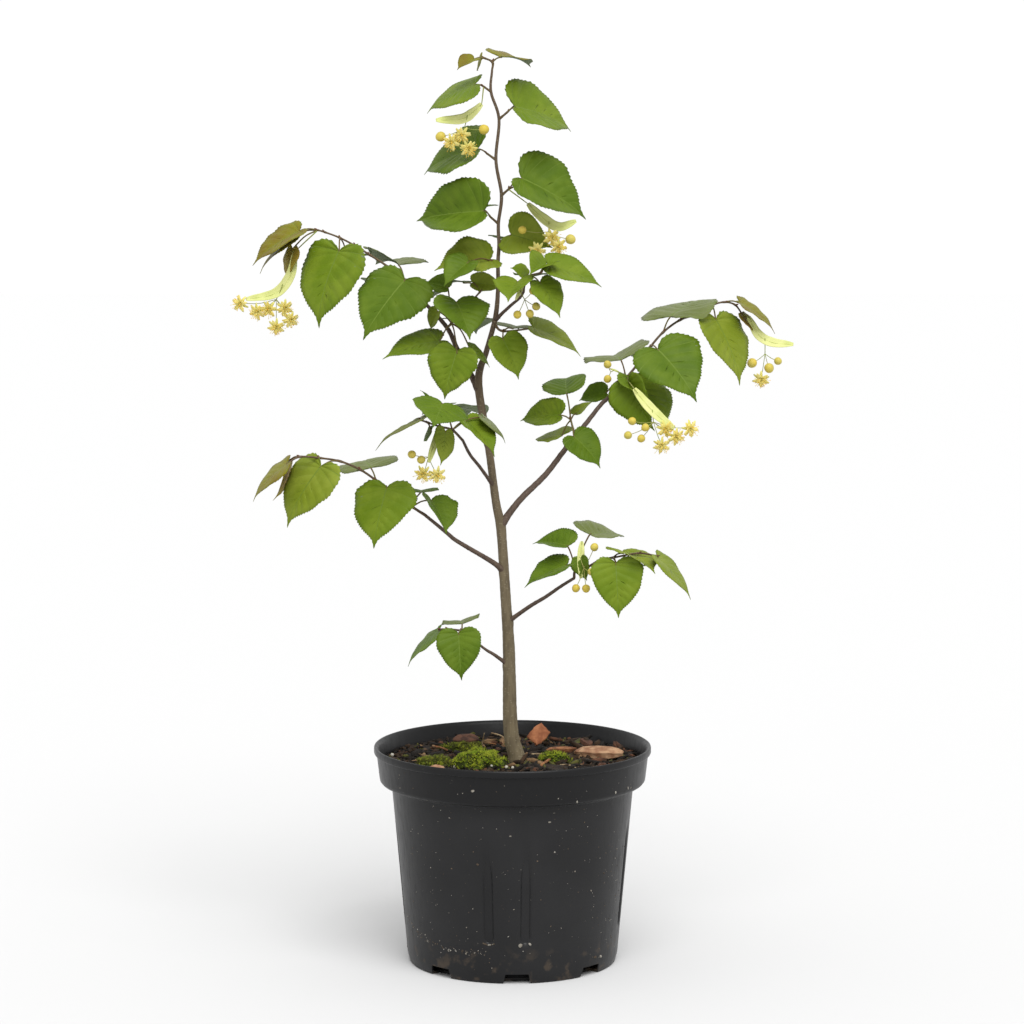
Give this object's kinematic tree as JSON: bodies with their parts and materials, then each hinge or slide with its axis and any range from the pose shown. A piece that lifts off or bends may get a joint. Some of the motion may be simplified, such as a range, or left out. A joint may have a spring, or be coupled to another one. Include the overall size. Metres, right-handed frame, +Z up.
{
  "type": "potted linden tree",
  "caption": "Young small-leaved linden with heart-shaped leaves and pale blossom, a slender leaning trunk and short boughs, standing in a round black plastic nursery pot.",
  "frame": {"origin": "centre of the pot's underside, on the ground", "axes": "+Z up, -Y towards the side that the picture shows, +X to that side's right"},
  "size_m": [0.572, 0.371, 0.9188],
  "materials": {
    "pot_plastic": "satin black moulded plastic",
    "soil": "damp crumbly bark and peat mix",
    "moss": "soft cushion moss",
    "bark_chip": "weathered bark",
    "bark": "smooth grey-brown bark",
    "twig_bark": "dark smooth young bark",
    "foliage": "soft green leaf"
  },
  "bodies": {
    "root": {"pot": "pot_plastic", "soil": "soil", "moss_left": "moss", "moss_right": "moss", "moss_far_left": "moss", "moss_back": "moss", "chip_square": "bark_chip", "chip_long": "bark_chip", "chip_pale": "bark_chip", "chip_red": "bark_chip", "chip_brown": "bark_chip", "chip_small": "bark_chip", "trunk": "bark", "bough_low_left": "twig_bark", "bough_low_right": "twig_bark", "bough_left": "twig_bark", "bough_right": "twig_bark", "bough_mid_left": "twig_bark", "bough_back": "twig_bark", "bough_upper_left": "twig_bark", "spur_mid_right": "twig_bark", "spray_low_left": "foliage", "spray_low_right": "foliage", "spray_left": "foliage", "spray_right_side": "foliage", "spray_right": "foliage", "spray_mid_left": "foliage", "spray_back": "foliage", "spray_upper_left_inner": "foliage", "spray_upper_left": "foliage", "spray_mid_right": "foliage", "spray_leader_low": "foliage", "spray_leader_left": "foliage", "spray_leader_right": "foliage", "spray_upper_left_leaf": "foliage", "spray_upper_right": "foliage", "spray_high_left": "foliage", "spray_high_right": "foliage", "spray_top_left": "foliage", "spray_top": "foliage"}
  },
  "joints": []
}
